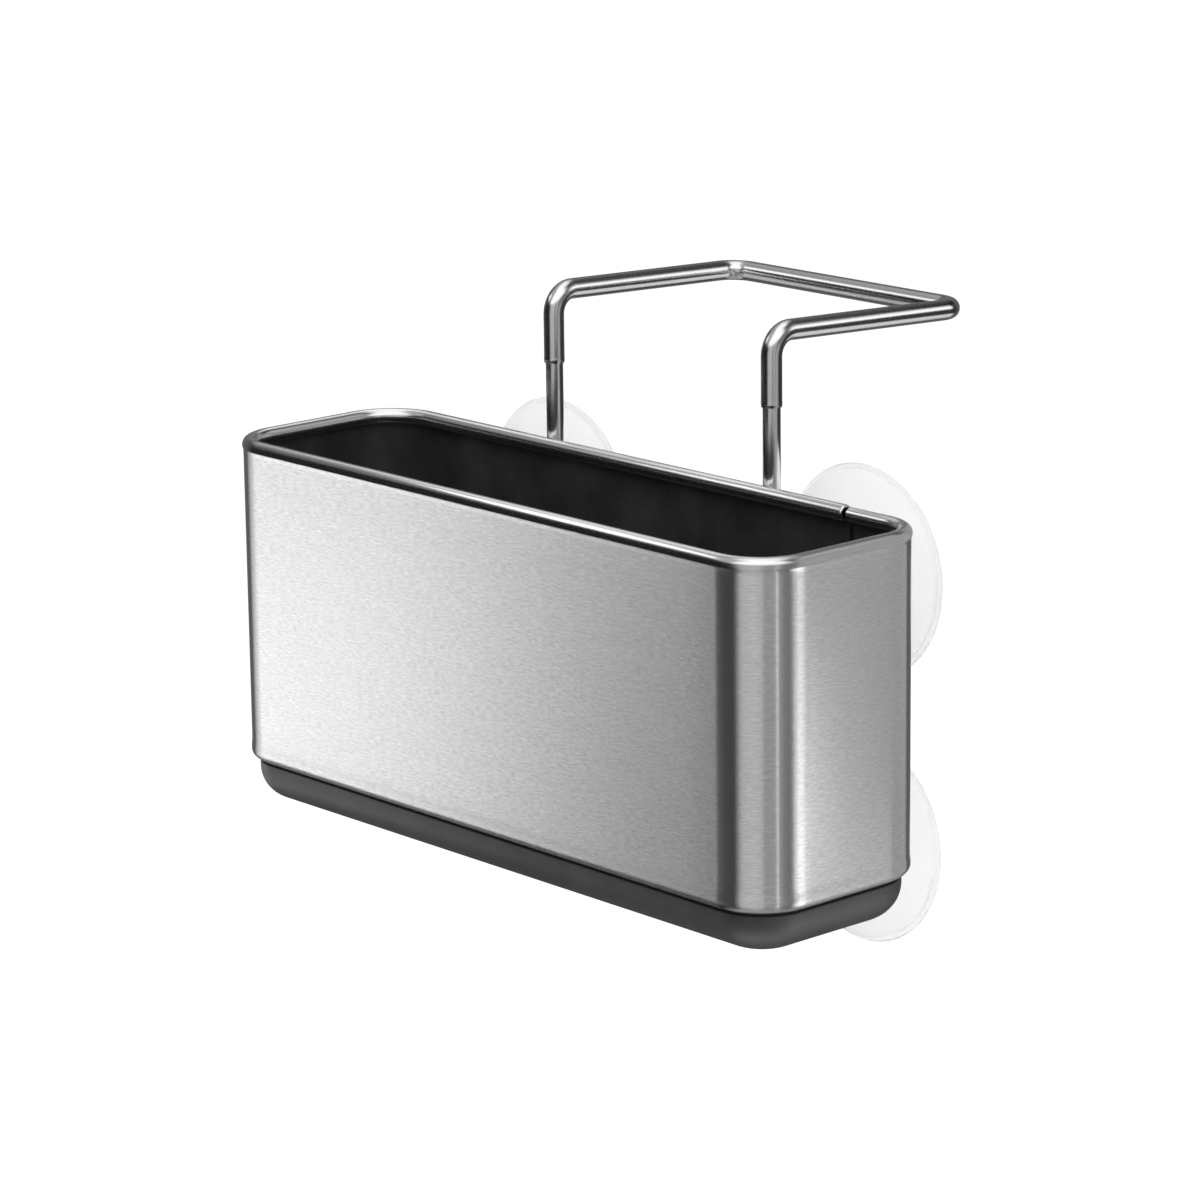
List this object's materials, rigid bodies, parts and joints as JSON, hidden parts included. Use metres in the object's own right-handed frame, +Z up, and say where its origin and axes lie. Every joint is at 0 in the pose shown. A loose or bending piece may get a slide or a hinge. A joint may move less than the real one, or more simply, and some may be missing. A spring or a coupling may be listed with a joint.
{
  "type": "sink organizer",
  "caption": "Slim open-top steel sink caddy on a drained plastic base, hung by suction cups, with a telescoping loop that goes round the faucet.",
  "frame": {"origin": "on the sink wall, midway between the centres of the suction cups", "axes": "+X along the caddy's long side, +Y into the sink wall, +Z up"},
  "size_m": [0.2206, 0.1436, 0.1725],
  "materials": {
    "brushed_steel": "stainless steel brushed along the band, fine horizontal grain",
    "polished_steel": "stainless steel tube and rod, bright polished",
    "plain_steel": "plain drawn stainless steel, satin",
    "base_plastic": "dark grey moulded plastic, fine matte texture",
    "nylon": "natural nylon, satin",
    "clear_rubber": "clear soft plastic, smooth, slightly milky"
  },
  "bodies": {
    "caddy": {"sleeve": "brushed_steel", "base": "base_plastic", "seam_strip": "plain_steel", "guide_tube_left": "plain_steel", "guide_tube_right": "plain_steel", "plug_left": "nylon", "plug_right": "nylon", "saddle_upper_left": "plain_steel", "saddle_upper_right": "plain_steel", "saddle_lower_left": "plain_steel", "saddle_lower_right": "plain_steel", "cross_wire_upper": "plain_steel", "cross_wire_lower": "plain_steel", "cup_upper_left": "clear_rubber", "cup_upper_right": "clear_rubber", "cup_lower_left": "clear_rubber", "cup_lower_right": "clear_rubber"},
    "neck": {"faucet_loop": "polished_steel", "rod_left": "polished_steel", "rod_right": "polished_steel", "bush_left": "nylon", "bush_right": "nylon"}
  },
  "joints": [
    {"name": "neck_slide", "type": "slide", "parent": "caddy", "child": "neck", "axis": [0, 0, 1], "range_m": [-0.0244, 0.051]}
  ]
}
